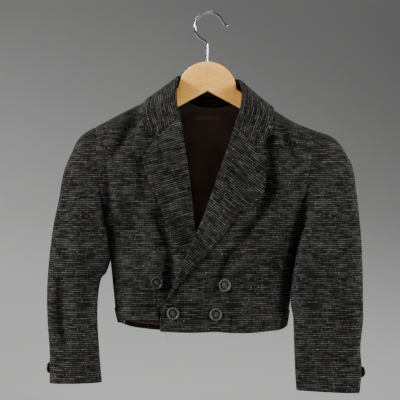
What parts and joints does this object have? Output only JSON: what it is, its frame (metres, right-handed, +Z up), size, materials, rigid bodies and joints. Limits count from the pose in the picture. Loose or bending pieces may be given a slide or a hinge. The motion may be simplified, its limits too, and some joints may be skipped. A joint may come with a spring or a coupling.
{
  "type": "sport coat",
  "caption": "Child's cropped double-breasted tweed sport coat with notch lapels, short hem strips and cuff buttons, hung on a wooden hanger with a steel hook.",
  "frame": {"origin": "underside of the hook's wire at the top of its bend, where a rail carries the hanger", "axes": "+X towards the wearer's left, +Y from the front to the back, +Z up"},
  "size_m": [0.5084, 0.1172, 0.608],
  "materials": {
    "tweed": "charcoal tweed with broken pale slub lines",
    "lining": "brown satin",
    "button": "dark, half shiny",
    "wood": "pale, varnished",
    "steel": "bright"
  },
  "bodies": {
    "root": {"back": "tweed", "back_lining": "lining", "front_right": "tweed", "front_left": "tweed", "lapel_right": "tweed", "lapel_left": "tweed", "collar": "tweed", "waistband_right": "tweed", "waistband_left": "tweed", "waistband_back": "tweed", "sleeve_top_right": "tweed", "sleeve_under_right": "tweed", "sleeve_top_left": "tweed", "sleeve_under_left": "tweed", "button_upper_left": "button", "button_lower_left": "button", "button_lower_right": "button", "button_upper_right": "button", "button_cuff_right": "button", "button_cuff_left": "button", "hanger_wood": "wood", "hanger_hook": "steel"}
  },
  "joints": []
}
